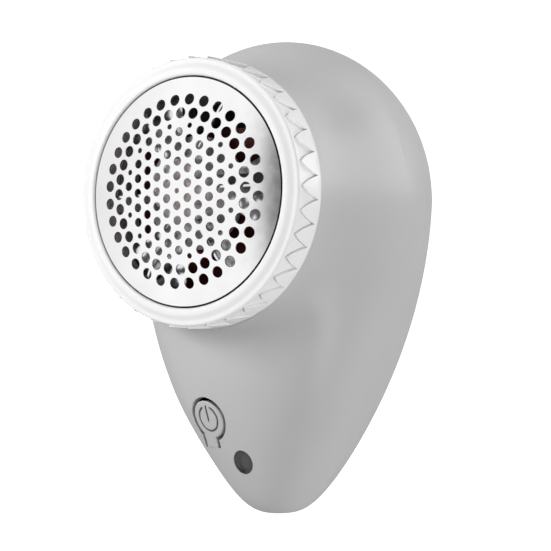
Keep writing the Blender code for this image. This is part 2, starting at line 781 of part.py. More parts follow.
def main():
    clear_scene()
    body_grey = material("satin_grey_plastic", (0.56, 0.56, 0.57), 0.45)
    white = material("gloss_white_plastic", (0.88, 0.88, 0.88), 0.25)
    black = material("black_rubber", (0.02, 0.02, 0.02), 0.7)
    chamber_grey = material("dark_grey_plastic", (0.12, 0.11, 0.11), 0.5)
    inner_plastic = material("natural_plastic", (0.75, 0.73, 0.70), 0.5)
    foil_steel = material("polished_foil_steel", (0.83, 0.83, 0.84), 0.18, 1.0)
    blade_steel = material("blade_steel", (0.75, 0.76, 0.78), 0.2, 1.0)
    steel = material("plated_steel", (0.62, 0.63, 0.65), 0.35, 1.0)
    brass = material("copper_segments", (0.72, 0.42, 0.25), 0.35, 1.0)
    bronze = material("sintered_bronze", (0.62, 0.45, 0.25), 0.5, 1.0)
    magnet = material("ferrite", (0.08, 0.08, 0.09), 0.7)
    smoke = material("smoked_lens", (0.07, 0.07, 0.07), 0.3)
    wrap = material("cell_wrap", (0.10, 0.22, 0.45), 0.4)
    nickel = material("nickel_strip", (0.70, 0.68, 0.62), 0.35, 1.0)
    green = material("board_green", (0.03, 0.20, 0.09), 0.45)
    led = material("led_resin", (0.85, 0.30, 0.25), 0.2)
    red = material("red_lead", (0.60, 0.04, 0.03), 0.4)

    make_front_shell(body_grey)
    make_rear_cover(body_grey)
    make_cover_screws(steel)
    make_lint_bin(body_grey)
    make_button(body_grey)
    make_lens(smoke)
    make_foil(foil_steel)
    make_head(white, black, inner_plastic)
    make_chamber(chamber_grey)
    make_cutter(steel, blade_steel, inner_plastic, brass)
    make_motor(steel, black, magnet, bronze, steel)
    make_battery(wrap, nickel, chamber_grey)
    make_electronics(green, black, inner_plastic, steel, led, red, black)


main()
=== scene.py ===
"""The looks of the fabric shaver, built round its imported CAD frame.

Places are given in head coordinates, as in the CAD: x to the right seen from the front, the
depth behind the crown of the foil, and the height above the cutting head's axis.  The skin
functions work in metres on numpy arrays; the shape makers take millimetres.
"""
import json
import math

import bmesh
import bpy
import numpy as np
from mathutils import Matrix, Vector
from mathutils.geometry import delaunay_2d_cdt

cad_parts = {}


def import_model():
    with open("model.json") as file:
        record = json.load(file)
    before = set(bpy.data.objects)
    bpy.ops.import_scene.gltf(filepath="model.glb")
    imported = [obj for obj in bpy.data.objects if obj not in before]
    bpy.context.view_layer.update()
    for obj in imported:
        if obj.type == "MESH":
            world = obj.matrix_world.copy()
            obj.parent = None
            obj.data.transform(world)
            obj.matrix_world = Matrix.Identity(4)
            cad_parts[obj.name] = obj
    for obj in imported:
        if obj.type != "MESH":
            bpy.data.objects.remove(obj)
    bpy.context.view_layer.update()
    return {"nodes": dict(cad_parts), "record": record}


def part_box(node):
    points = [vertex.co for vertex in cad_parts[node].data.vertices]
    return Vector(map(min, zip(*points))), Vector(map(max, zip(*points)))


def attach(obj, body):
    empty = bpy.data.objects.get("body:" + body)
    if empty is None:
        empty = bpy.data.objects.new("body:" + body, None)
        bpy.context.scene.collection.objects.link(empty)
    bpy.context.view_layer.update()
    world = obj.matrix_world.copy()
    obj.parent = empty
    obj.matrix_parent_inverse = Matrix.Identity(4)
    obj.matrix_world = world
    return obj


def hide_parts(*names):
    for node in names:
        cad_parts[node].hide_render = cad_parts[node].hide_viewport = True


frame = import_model()

MM = 0.001
GAP = 0.35 * MM

# ---- dimensions
# A size written with MM is in metres; the others are in mm where they don't say otherwise.
# Most are the CAD's own, but the tip is a little longer here, and the button and the lens a little
# further left, as in the photo.
FOIL_LOW, FOIL_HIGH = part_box("foil")
HEAD_AT = np.array([0.0, FOIL_LOW.y, (FOIL_LOW.z + FOIL_HIGH.z) / 2])

EGG_DEPTH = 42.2 * MM
EGG_LEAN = 0.027
EGG_HALF_WIDTH = 34.5 * MM
EGG_BACK = 35.8 * MM
EGG_TOP = 37.9 * MM
EGG_TIP = 72.6 * MM
TIP_POWER, TIP_ROUNDNESS = 1.44, 0.315
WAIST_CUT, WAIST_POWER = 0.433, 2.41
FRONT_SQUARENESS = 2.35
FRONT_SWELL, SWELL_FROM = 0.25, 0.772
WALL = 2.0 * MM
NECK_R = 28.9 * MM
NECK_FILLET = 7.0 * MM
MOUTH = 11.8 * MM
PARTING = 63.4 * MM
TIP_CROWDING = 0.6  # how much closer the skin's points are at the tip
BEND_WEIGHT = 8.0 * MM  # the length of skin that gets as many rows as a radian of bend
COLLAR_IN, COLLAR_OUT = 25.4 * MM, 27.1 * MM
COLLAR_FRONT = 5.0 * MM
EGG_CENTRE = np.array([0.0, EGG_DEPTH, 0.0])

FOIL_R = 24.87
FOIL_SAG = 0.00472  # at a radius r the foil lies FOIL_SAG * r * r behind its crown
FOIL_T = 0.3
HOLE_PITCH = 3.2

BUTTON_AT = (-6.55, -50.2)  # x and height
LENS_AT = (0.46, -59.87)
# x, height, and the depth of the head's seat
COVER_SCREWS = ((19.0, 3.0, 66.6), (-19.0, 3.0, 66.6), (11.0, -33.0, 65.6), (-11.0, -33.0, 65.6))
BOSS_R, PILOT_R = 3.2, 1.5

# ---- the housing's skin


def smoothstep(low, high, value):
    """A smooth climb from 0 at low to 1 at high."""
    t = np.clip((value - low) / (high - low), 0.0, 1.0)
    return t * t * (3 - 2 * t)


def egg_reach(x, depth, height, inset=0.0):
    """How far points are outside (+) or inside (-) the egg, set inward by inset."""
    top, tip = EGG_TOP - inset, EGG_TIP - 1.2 * inset
    t = np.clip(-height / tip, 0.0, 1.0)
    upper = np.sqrt(np.clip(1 - (height / top) ** 2, 0.0, None))
    lower = (1 - t**TIP_POWER) ** TIP_ROUNDNESS * (1 - WAIST_CUT * t**WAIST_POWER)
    front = smoothstep(0.15, 0.5, t)
    behind = depth - EGG_DEPTH - EGG_LEAN * height
    square = 2 + (FRONT_SQUARENESS - 2) * front * (1 - smoothstep(0.6, 0.9, t))
    power = np.where(behind < 0, square, 2.0)
    front_reach = (EGG_HALF_WIDTH - inset) * (1 + FRONT_SWELL * (t - SWELL_FROM) * front)
    reach = np.where(behind < 0, front_reach, EGG_BACK - inset)
    across = np.abs(x) / (EGG_HALF_WIDTH - inset)
    value = (across**power + (np.abs(behind) / reach) ** power) ** (1 / power)
    value = value - np.where(height >= 0, upper, lower)
    return np.where((height >= top) | (height <= -tip), 1.0, value)


def bisect(low, high, test, steps=36):
    """Where test turns from negative to positive between two arrays, element by element."""
    for _ in range(steps):
        middle = (low + high) / 2
        negative = test(middle) < 0
        low, high = np.where(negative, middle, low), np.where(negative, high, middle)
    return (low + high) / 2


def skin(turn, swing, inset=0.0):
    """The housing's skin seen from the egg's centre, with the neck blended into the egg."""
    turn, swing = np.broadcast_arrays(turn, swing)
    ray = np.stack(
        [np.sin(swing) * np.sin(turn), -np.cos(swing), np.sin(swing) * np.cos(turn)], -1
    )

    def outside(distance):
        return egg_reach(*np.moveaxis(EGG_CENTRE + ray * distance[..., None], -1, 0), inset)

    distance = bisect(np.full(swing.shape, 5 * MM), np.full(swing.shape, 90 * MM), outside)
    tube = (NECK_R - inset) / np.maximum(np.sin(swing), 0.01)
    blend = np.clip(NECK_FILLET - np.abs(distance - tube), 0.0, None) / NECK_FILLET
    joined = np.maximum(distance, tube) + blend * blend * NECK_FILLET / 4
    distance = np.where(swing < math.radians(88), joined, distance)
    return EGG_CENTRE + ray * distance[..., None]


def skin_angles(points):
    """The turn and swing at which points are seen from the egg's centre."""
    ray = points - EGG_CENTRE
    swing = np.arccos(np.clip(-ray[..., 1] / np.linalg.norm(ray, axis=-1), -1, 1))
    return np.arctan2(ray[..., 0], ray[..., 2]), swing


def skin_normals(turn, swing):
    """The skin's outward normals, from points a small step apart."""
    step = 0.002
    across = skin(turn + step, swing) - skin(turn - step, swing)
    along = skin(turn, swing + step) - skin(turn, swing - step)
    normal = np.cross(across, along)
    return normal / np.maximum(np.linalg.norm(normal, axis=-1, keepdims=True), 1e-12)


def even_turns(count):
    return 2 * math.pi * np.arange(count) / count


def turns(count):
    """Even turns round the head's axis, crowded towards the tip."""
    even = even_turns(count)
    return even + TIP_CROWDING * np.sin(even)


def skin_rows(count, depth_from, depth_to, rows, inset=0.0):
    """Rings of points on the skin from one depth to another, closer where it bends."""
    turn = turns(count)

    def swing_at(depth):
        low, high = np.full(count, math.radians(30)), np.full(count, math.radians(178))
        return bisect(low, high, lambda swing: skin(turn, swing, inset)[:, 1] - depth, 28)

    start, end = swing_at(depth_from), swing_at(depth_to)
    share = np.linspace(0.0, 1.0, 4 * rows + 1)
    path = skin(turn, start + (end - start) * share[:, None], inset)
    step = np.diff(path, axis=0)
    length = np.linalg.norm(step, axis=-1)
    way = step / length[..., None]
    bend = np.arccos(np.clip((way[1:] * way[:-1]).sum(-1), -1, 1))
    weight = length + BEND_WEIGHT * np.vstack([np.zeros(count), bend])
    reach = np.vstack([np.zeros(count), np.cumsum(weight, axis=0)])
    picked = np.stack(
        [np.interp(np.linspace(0, reach[-1, k], rows + 1), reach[:, k], share) for k in range(count)],
        axis=1,
    )
    return list(skin(turn, start + (end - start) * picked, inset))


def circle_row(count, radius, depth):
    turn = turns(count)
    return np.stack([radius * np.sin(turn), np.full(count, depth), radius * np.cos(turn)], -1)


# ---- mesh helpers


def world(points):
    """Head coordinates in metres to the row frame."""
    return np.asarray(points, float) + HEAD_AT


def read(items, attribute, width=3, kind=float):
    """A mesh attribute as an array, with a row for each item."""
    values = np.zeros(len(items) * width, kind)
    items.foreach_get(attribute, values)
    return values.reshape(-1, width) if width > 1 else values


def add_object(name, mesh):
    obj = bpy.data.objects.new(name, mesh)
    bpy.context.scene.collection.objects.link(obj)
    return obj


def smooth(obj, angle=35):
    obj.data.shade_smooth()
    obj.data.set_sharp_from_angle(angle=math.radians(angle))
    return obj


def ring_mesh(name, rows, first_pole=None, last_pole=None):
    """A closed skin through rings of points, ended by poles, or joined end to end without any."""
    count = len(rows[0])
    points = world(np.concatenate(rows))
    index = np.arange(len(rows) * count).reshape(len(rows), count)
    lower, upper = index[:-1], index[1:]
    if first_pole is None:
        lower, upper = index, np.roll(index, -1, axis=0)
    quads = np.stack([lower, np.roll(lower, -1, 1), np.roll(upper, -1, 1), upper], -1).reshape(-1, 4)
    faces = [tuple(int(i) for i in quad) for quad in quads]
    if first_pole is not None:
        points = np.vstack([points, world([first_pole]), world([last_pole])])
        first, last = len(points) - 2, len(points) - 1
        for i in range(count):
            j = (i + 1) % count
            faces.append((int(index[0, j]), int(index[0, i]), first))
            faces.append((int(index[-1, i]), int(index[-1, j]), last))
    mesh = bpy.data.meshes.new(name)
    mesh.from_pydata([tuple(p) for p in points], [], faces)
    bm = bmesh.new()
    bm.from_mesh(mesh)
    bmesh.ops.recalc_face_normals(bm, faces=bm.faces)
    bm.to_mesh(mesh)
    bm.free()
    return smooth(add_object(name, mesh))


def turned(name, profile, steps=96, at=(0.0, 0.0)):
    """A turned piece about an axis parallel to the head's, from (radius, depth) pairs in mm."""
    turn = even_turns(steps)
    rows, poles = [], []
    for radius, depth in profile:
        if radius == 0:
            poles.append((at[0] * MM, depth * MM, at[1] * MM))
            continue
        x, height = at[0] + radius * np.sin(turn), at[1] + radius * np.cos(turn)
        rows.append(np.stack([x, np.full(steps, depth), height], -1) * MM)
    return ring_mesh(name, rows, *poles)


CORNER_SHARE = 0.45  # the most of a side that a rounded corner takes


def rounded(profile, radius, steps=3):
    """A closed outline with its corners rounded, each corner no further than its sides allow."""
    points = [Vector(p) for p in profile]
    out = []
    for before, here, after in zip(points[-1:] + points[:-1], points, points[1:] + points[:1]):
        coming, going = (here - before).length, (after - here).length
        reach = min(radius, coming * CORNER_SHARE, going * CORNER_SHARE)
        start, end = here.lerp(before, reach / coming), here.lerp(after, reach / going)
        for i in range(steps + 1):
            t = i / steps
            out.append(tuple((1 - t) ** 2 * start + 2 * t * (1 - t) * here + t * t * end))
    return out


def rod(name, radius, start, end, sides=48):
    """A round rod between two points, in mm."""
    start, end = Vector(start) * MM, Vector(end) * MM
    mesh = bpy.data.meshes.new(name)
    bm = bmesh.new()
    bmesh.ops.create_cone(
        bm, cap_ends=True, segments=sides, radius1=radius * MM, radius2=radius * MM,
        depth=(end - start).length,
    )
    middle = Vector(world((start + end) / 2))
    turn = (end - start).to_track_quat("Z", "Y").to_matrix().to_4x4()
    bm.transform(Matrix.Translation(middle) @ turn)
    bm.to_mesh(mesh)
    bm.free()
    return smooth(add_object(name, mesh))


def prism(name, outlines, low, high, place=lambda x, y, z: (x, z, y)):
    """A flat outline with holes, in mm, extruded from low to high and placed by a mapping."""
    points, loops = [], []
    for outline in outlines:
        start = len(points)
        points += [Vector(p) for p in outline]
        loops.append(list(range(start, len(points))))
    edges = [(a, b) for loop in loops for a, b in zip(loop, loop[1:] + loop[:1])]
    flat, _, triangles, *_ = delaunay_2d_cdt(points, edges, [], 0, 1e-7)
    triangles = [t for t in triangles if inside_outline(middle_of(flat, t), outlines)]
    return sheet_body(name, flat, triangles, lambda x, y: place(x, y, low), lambda x, y: place(x, y, high))


def middle_of(flat, triangle):
    return sum((flat[i] for i in triangle), Vector((0, 0))) / 3


def inside_outline(point, outlines):
    """Whether a point is inside the outlines, counting crossings of a ray to the right."""
    crossings = 0
    for outline in outlines:
        for (ax, ay), (bx, by) in zip(outline, list(outline[1:]) + [outline[0]]):
            if (ay > point.y) != (by > point.y):
                crossings += point.x < ax + (point.y - ay) / (by - ay) * (bx - ax)
    return crossings % 2 == 1


def sheet_body(name, flat, triangles, under, over):
    """A closed body between two mappings of the same flat triangulation, in mm."""
    used = sorted({i for t in triangles for i in t})
    bm = bmesh.new()
    low = {i: bm.verts.new(world(np.array(under(flat[i].x, flat[i].y)) * MM)) for i in used}
    high = {i: bm.verts.new(world(np.array(over(flat[i].x, flat[i].y)) * MM)) for i in used}
    sides = {}
    for a, b, c in triangles:
        bm.faces.new((low[a], low[b], low[c]))
        bm.faces.new((high[c], high[b], high[a]))
        for edge in ((a, b), (b, c), (c, a)):
            sides[edge] = True
    for a, b in sides:
        if (b, a) not in sides:
            bm.faces.new((low[b], low[a], high[a], high[b]))
    bmesh.ops.recalc_face_normals(bm, faces=bm.faces)
    mesh = bpy.data.meshes.new(name)
    bm.to_mesh(mesh)
    bm.free()
    return smooth(add_object(name, mesh))


def cut(obj, operation, *operands):
    """Applies Boolean modifiers and removes their operands."""
    for operand in operands:
        modifier = obj.modifiers.new(operand.name, "BOOLEAN")
        modifier.operation = operation
        modifier.object = operand
        modifier.solver = "EXACT"
    bpy.context.view_layer.update()
    done = bpy.data.meshes.new_from_object(obj.evaluated_get(bpy.context.evaluated_depsgraph_get()))
    obj.modifiers.clear()
    obj.data = done
    for operand in operands:
        bpy.data.objects.remove(operand, do_unlink=True)
    return smooth(obj)


ON_SKIN = 0.02 * MM  # the furthest that a point of the skin may lie off it
SKIN_SLANT = math.radians(25)  # the most that a face of the skin may slant from it


def set_skin_normals(obj):
    """Gives the corners that lie on the housing's skin the skin's own normals."""
    mesh = obj.data
    corners = read(mesh.corner_normals, "vector")
    vertices = read(mesh.vertices, "co") - HEAD_AT
    turn, swing = skin_angles(vertices)
    on_skin = np.linalg.norm(skin(turn, swing) - vertices, axis=1) < ON_SKIN
    normals = skin_normals(turn, swing)
    vertex = read(mesh.loops, "vertex_index", 1, int)
    sizes = read(mesh.polygons, "loop_total", 1, int)
    face_normals = np.repeat(read(mesh.polygons, "normal"), sizes, axis=0)
    along = (face_normals * normals[vertex]).sum(1) > math.cos(SKIN_SLANT)
    use = on_skin[vertex] & along
    corners[use] = normals[vertex][use]
    mesh.normals_split_custom_set([tuple(n) for n in corners])


# ---- places on the lower front


def on_front(at, x, y, above=0.0):
    """Points of the lower front seen from ahead at x and y from a place, in mm, above the skin."""
    x, y = (np.asarray(x, float) + at[0]) * MM, (np.asarray(y, float) + at[1]) * MM
    low, high = np.full(x.shape, -5 * MM), np.full(x.shape, EGG_DEPTH)
    depth = bisect(low, high, lambda d: -egg_reach(x, d, y))
    return np.stack([x, depth - np.asarray(above) * MM, y], -1)


def front_stack(name, at, outline_at, levels):
    """A closed body on the front, through loops given as growth of an outline and height above the skin."""
    rows = []
    for grow, above in levels:
        outline = np.array(outline_at(grow))
        rows.append(on_front(at, outline[:, 0], outline[:, 1], above))
    middle = np.zeros(1)
    poles = [on_front(at, middle, middle, above)[0] for _, above in (levels[0], levels[-1])]
    return ring_mesh(name, rows, *poles)


# ---- materials


def shader(name, colour, roughness, metallic=0.0, **sockets):
    """A Principled material; sockets are its other inputs by name."""
    mat = bpy.data.materials.new(name)
    mat.use_nodes = True
    bsdf = mat.node_tree.nodes["Principled BSDF"]
    bsdf.inputs["Base Color"].default_value = (*colour, 1.0)
    bsdf.inputs["Roughness"].default_value = roughness
    bsdf.inputs["Metallic"].default_value = metallic
    for socket, value in sockets.items():
        bsdf.inputs[socket.replace("_", " ")].default_value = value
    return mat, mat.node_tree.nodes, mat.node_tree.links, bsdf


def noise(nodes, links, scale, detail=4.0, stretch=None):
    """Noise in object space; stretch scales the three axes first."""
    coordinates = nodes.new("ShaderNodeTexCoord")
    texture = nodes.new("ShaderNodeTexNoise")
    texture.inputs["Scale"].default_value = scale
    texture.inputs["Detail"].default_value = detail
    out = coordinates.outputs["Object"]
    if stretch:
        mapping = nodes.new("ShaderNodeMapping")
        mapping.inputs["Scale"].default_value = stretch
        links.new(out, mapping.inputs["Vector"])
        out = mapping.outputs["Vector"]
    links.new(out, texture.inputs["Vector"])
    return texture.outputs["Fac"]


NOISE_LOW, NOISE_HIGH = 0.3, 0.7  # the range that noise mostly keeps to


def spread(nodes, links, source, low, high, into):
    """Maps noise to a range of values."""
    remap = nodes.new("ShaderNodeMapRange")
    remap.inputs["From Min"].default_value = NOISE_LOW
    remap.inputs["From Max"].default_value = NOISE_HIGH
    remap.inputs["To Min"].default_value = low
    remap.inputs["To Max"].default_value = high
    links.new(source, remap.inputs["Value"])
    links.new(remap.outputs["Result"], into)


def tint(nodes, links, source, dark, light, into):
    """Maps noise to a range of colours."""
    ramp = nodes.new("ShaderNodeValToRGB")
    ramp.color_ramp.elements[0].position = NOISE_LOW
    ramp.color_ramp.elements[0].color = (*dark, 1.0)
    ramp.color_ramp.elements[1].position = NOISE_HIGH
    ramp.color_ramp.elements[1].color = (*light, 1.0)
    links.new(source, ramp.inputs["Fac"])
    links.new(ramp.outputs["Color"], into)


def bump(nodes, links, source, distance, bsdf):
    node = nodes.new("ShaderNodeBump")
    node.inputs["Distance"].default_value = distance
    node.inputs["Strength"].default_value = 1.0
    links.new(source, node.inputs["Height"])
    links.new(node.outputs["Normal"], bsdf.inputs["Normal"])


def moulded_plastic(name, colour, roughness, grain=2200.0, depth=0.006 * MM, **sockets):
    """Injection-moulded plastic: a fine spark-eroded grain, and faint drifts of tone and gloss."""
    mat, nodes, links, bsdf = shader(name, colour, roughness, **sockets)
    drift = noise(nodes, links, 60.0, 3.0)
    shade = [c * 0.985 for c in colour], [min(c * 1.012, 1.0) for c in colour]
    tint(nodes, links, drift, *shade, bsdf.inputs["Base Color"])
    gloss = noise(nodes, links, 140.0)
    spread(nodes, links, gloss, roughness - 0.02, roughness + 0.03, bsdf.inputs["Roughness"])
    bump(nodes, links, noise(nodes, links, grain, 2.0), depth, bsdf)
    return mat


def metal(name, colour, roughness, stretch=None, scale=400.0, depth=0.002 * MM, **sockets):
    """Bare metal with drawing or polishing marks along one direction."""
    mat, nodes, links, bsdf = shader(name, colour, roughness, 1.0, **sockets)
    marks = noise(nodes, links, scale, 6.0, stretch)
    spread(nodes, links, marks, max(roughness - 0.05, 0.02), roughness + 0.08, bsdf.inputs["Roughness"])
    shade = [c * 0.96 for c in colour], [min(c * 1.03, 1.0) for c in colour]
    tint(nodes, links, noise(nodes, links, 90.0, 3.0), *shade, bsdf.inputs["Base Color"])
    bump(nodes, links, marks, depth, bsdf)
    return mat


def make_materials():
    """The record's material slots, then two finishes that belong to no slot of their own."""
    return {
        "satin_grey_plastic": moulded_plastic("satin_grey", (0.50, 0.50, 0.50), 0.30),
        "gloss_white_plastic": moulded_plastic(
            "gloss_white", (0.86, 0.86, 0.86), 0.22, 900.0, 0.001 * MM, Coat_Weight=0.3
        ),
        "black_rubber": moulded_plastic("gasket_rubber", (0.012, 0.012, 0.012), 0.65, 1800.0, 0.01 * MM),
        "black_plastic": moulded_plastic("black_plastic", (0.025, 0.025, 0.027), 0.45),
        "dark_grey_plastic": moulded_plastic("chamber_plastic", (0.42, 0.41, 0.41), 0.38),
        "natural_plastic": moulded_plastic("natural_plastic", (0.92, 0.86, 0.85), 0.30, 900.0),
        "polished_foil_steel": metal("foil_steel", (0.86, 0.86, 0.865), 0.10, None, 500.0, 0.0004 * MM),
        "blade_steel": metal("blade_steel", (0.78, 0.79, 0.81), 0.14, (1, 1, 12), 900.0, 0.001 * MM),
        "plated_steel": metal("plated_steel", (0.60, 0.61, 0.63), 0.30),
        "copper_segments": metal("copper", (0.72, 0.40, 0.24), 0.30, (1, 14, 1)),
        "sintered_bronze": metal("bronze", (0.58, 0.42, 0.24), 0.50, None, 1800.0, 0.01 * MM),
        "ferrite": moulded_plastic("ferrite", (0.06, 0.06, 0.065), 0.60, 1500.0, 0.01 * MM),
        "smoked_lens": moulded_plastic("smoked_lens", (0.085, 0.085, 0.085), 0.35, 700.0, 0.001 * MM),
        "cell_wrap": moulded_plastic("cell_film", (0.07, 0.17, 0.40), 0.28, 300.0, 0.01 * MM),
        "nickel_strip": metal("nickel", (0.70, 0.67, 0.60), 0.32, (1, 10, 1)),
        "board_green": moulded_plastic("solder_mask", (0.02, 0.17, 0.07), 0.35, 600.0, 0.01 * MM),
        "led_resin": moulded_plastic("led_resin", (0.80, 0.25, 0.20), 0.12, 300.0, 0.001 * MM),
        "red_lead": moulded_plastic("red_pvc", (0.55, 0.03, 0.02), 0.40, 700.0),
        # painted shade: the darker grey laid in the power symbol's groove to stand in for its shade
        "groove_shade_grey": moulded_plastic("groove_shade_grey", (0.16, 0.16, 0.16), 0.5),
        "maroon_floor": moulded_plastic("chamber_floor_maroon", (0.13, 0.02, 0.012), 0.30, 900.0),
    }


MATERIALS = make_materials()
NODE_SLOT = {part["node"]: part["material_slot"] for part in frame["record"]["subparts"]}


def dress(obj, body, *nodes, slot_name=None):
    """Rides obj on a body, in place of any CAD nodes given, with the finish of its material slot."""
    slot_name = slot_name or NODE_SLOT[nodes[0]]
    obj.data.materials.clear()
    obj.data.materials.append(MATERIALS[slot_name])
    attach(obj, body)
    if nodes:
        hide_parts(*nodes)


# ---- housing

SKIN_TURNS = 220
SKIN_EDGE = 0.25 * MM  # the small chamfer round the shells' edges
BACK_POLE = 0.05 * MM  # the last ring of skin's distance from the back's pole
TAB_HALF = (4.41, 4.24)  # the tab's half width and half height, seen from the front
NECK_HALF, NECK_END = 2.05, -6.6  # the tab's neck, and the height where it joins the shell
NECK_LEAN = 0.1
SLOT_WIDTH = 0.84
LENS_HALF, LENS_TILT = (2.84, 2.41), 61.0
# The loops of a hole's cutter, which leave its edge rounded: outward growth, height above the skin.
LIP = ((0.45, 1.2), (0.24, 0.10), (0.15, 0.0), (0.07, -0.03), (0.02, -0.09), (0.0, -0.18), (0.0, -6.0))


def neck_middle(y):
    """The neck leans a little to the left as it goes down."""
    return -0.474 + NECK_LEAN * y


def keyhole(grow, steps=96):
    """An oval tab with a short neck below it, in mm, set outward by grow, with an open lower end."""
    wide, tall, half = TAB_HALF[0] + grow, TAB_HALF[1] + grow, NECK_HALF + grow
    right = left = 0.0
    for _ in range(20):
        right = math.asin((neck_middle(-tall * math.cos(right)) + half) / wide)
        left = math.asin((neck_middle(-tall * math.cos(left)) - half) / wide)
    sweep = 2 * math.pi + left - right
    angles = [right + sweep * i / steps for i in range(steps + 1)]
    arc = [(wide * math.sin(a), -tall * math.cos(a)) for a in angles]
    foot = [(neck_middle(NECK_END) + side * half, NECK_END) for side in (1, -1)]
    down = [Vector(foot[0]).lerp(Vector(arc[0]), i / 8) for i in range(8)]
    up = [Vector(arc[-1]).lerp(Vector(foot[1]), i / 8) for i in range(1, 9)]
    return [tuple(p) for p in down] + arc + [tuple(p) for p in up]


def circle(radius, sides):
    angles = [2 * math.pi * i / sides for i in range(sides)]
    return [(radius * math.cos(a), radius * math.sin(a)) for a in angles]


def lens_outline(grow):
    """The lens hole's slightly oval outline, seen from the front, in mm."""
    turn = Matrix.Rotation(math.radians(LENS_TILT), 2)
    long, short = LENS_HALF[0] + grow, LENS_HALF[1] + grow
    return [tuple(turn @ Vector((x * long, y * short))) for x, y in circle(1.0, 72)]


INNER_FRONT = 14.0 * MM  # where the inner skin starts behind the collar
WEB_HALF = 0.9  # half the thickness of a boss's web
WEBS = ((27.8, 50.5), (19.2, 53.0))  # the upper and lower bosses' wall and front end


def make_front_shell():
    """The main shell: egg skin, neck and collar, bosses inside, the button slot and lens hole."""
    n, edge = SKIN_TURNS, SKIN_EDGE
    rows = skin_rows(n, PARTING, INNER_FRONT, 30, WALL)
    rows += [
        circle_row(n, COLLAR_IN, INNER_FRONT - 0.8 * MM),
        circle_row(n, COLLAR_IN, COLLAR_FRONT + edge),
        circle_row(n, COLLAR_IN + edge, COLLAR_FRONT),
        circle_row(n, COLLAR_OUT - edge, COLLAR_FRONT),
        circle_row(n, COLLAR_OUT, COLLAR_FRONT + edge),
        circle_row(n, COLLAR_OUT, MOUTH),
        circle_row(n, NECK_R - edge, MOUTH),
    ]
    rows += skin_rows(n, MOUTH + edge, PARTING - edge, 110)
    rows += skin_rows(n, PARTING, PARTING + edge, 1, edge)[:1]
    shell = ring_mesh("housing_front", rows)
    additions, holes = [], []
    for i, (x, height, _) in enumerate(COVER_SCREWS):
        wall_x, front = WEBS[0] if height > 0 else WEBS[1]
        additions.append(rod(f"boss_{i}", BOSS_R, (x, front, height), (x, 63.2, height)))
        low_x, high_x = sorted((x, math.copysign(wall_x, x)))
        outline = [(low_x, height - WEB_HALF), (high_x, height - WEB_HALF),
                   (high_x, height + WEB_HALF), (low_x, height + WEB_HALF)]
        additions.append(prism(f"web_{i}", [outline], front + 0.5, 61.5))
        holes.append(rod(f"pilot_{i}", PILOT_R, (x, 57.0, height), (x, 64.5, height)))
    cut(shell, "UNION", *additions)
    holes.append(front_stack("button_slot", BUTTON_AT, lambda grow: keyhole(SLOT_WIDTH + grow), LIP))
    holes.append(front_stack("lens_hole", LENS_AT, lens_outline, LIP))
    cut(shell, "DIFFERENCE", *holes)
    set_skin_normals(shell)
    dress(shell, "housing", "front_shell")


# ---- button and lens

ICON_AT = (0.22, 0.14)
ICON_R, ICON_OPENING = 2.78, 27.0  # mm and half angle in degrees
ICON_BAR = (2.85, -0.45)  # heights of its ends above the symbol's middle
GROOVE_HALF, GROOVE_DEPTH = 0.34, 0.50
GROOVE_SHADE_SHARE = 0.62  # the share of the groove's width that gets the painted shade
TAB_EDGE, TAB_DROP = 0.45, 0.20  # the tab's rounded edge: its width and its fall
TAB_OVERLAP, TAB_PROUD = 0.03, 0.012  # the foot's reach into the shell, and its rise above it
TAB_T = 1.9
TAB_SPACING, TAB_CLEAR = 0.11, 0.05  # between points of the tab's mesh, and from them to its outline
POST_R, POST_END = 1.4, 26.8  # the post that presses the switch


def icon_distance(x, y):
    """Distance from the power symbol's line: a ring open at the top, and an upright bar."""
    x, y = x - ICON_AT[0], y - ICON_AT[1]
    angle = np.degrees(np.abs(np.arctan2(x, y)))
    to_ring = np.abs(np.hypot(x, y) - ICON_R)
    opening = math.radians(ICON_OPENING)
    to_end = np.hypot(np.abs(x) - ICON_R * math.sin(opening), y - ICON_R * math.cos(opening))
    to_bar = np.hypot(x, y - np.clip(y, ICON_BAR[1], ICON_BAR[0]))
    return np.minimum(np.where(angle > ICON_OPENING, to_ring, to_end), to_bar)


def outline_distance(x, y, outline):
    """Distance from points to a closed outline."""
    a = np.array(outline)
    b = np.roll(a, -1, axis=0)
    p = np.stack([x, y], -1)[:, None, :]
    along = b - a
    t = np.clip(((p - a) * along).sum(-1) / (along**2).sum(-1), 0, 1)
    return np.linalg.norm(p - a - along * t[..., None], axis=-1).min(1)


def paint_groove_shade(button):
    """Painted shade: a second, darker grey on the faces in the middle of the symbol's groove, where shade
    falls.
    """
    mesh = button.data
    mesh.materials.append(MATERIALS["groove_shade_grey"])
    centres = (read(mesh.polygons, "center") - HEAD_AT) / MM
    x, y = centres[:, 0] - BUTTON_AT[0], centres[:, 2] - BUTTON_AT[1]
    faces_front = read(mesh.polygons, "normal")[:, 1] < -0.1
    # the forward-facing faces in the middle of the groove get the painted shade
    groove_shade_faces = (icon_distance(x, y) < GROOVE_HALF * GROOVE_SHADE_SHARE) & faces_front
    mesh.polygons.foreach_set("material_index", groove_shade_faces.astype(int))


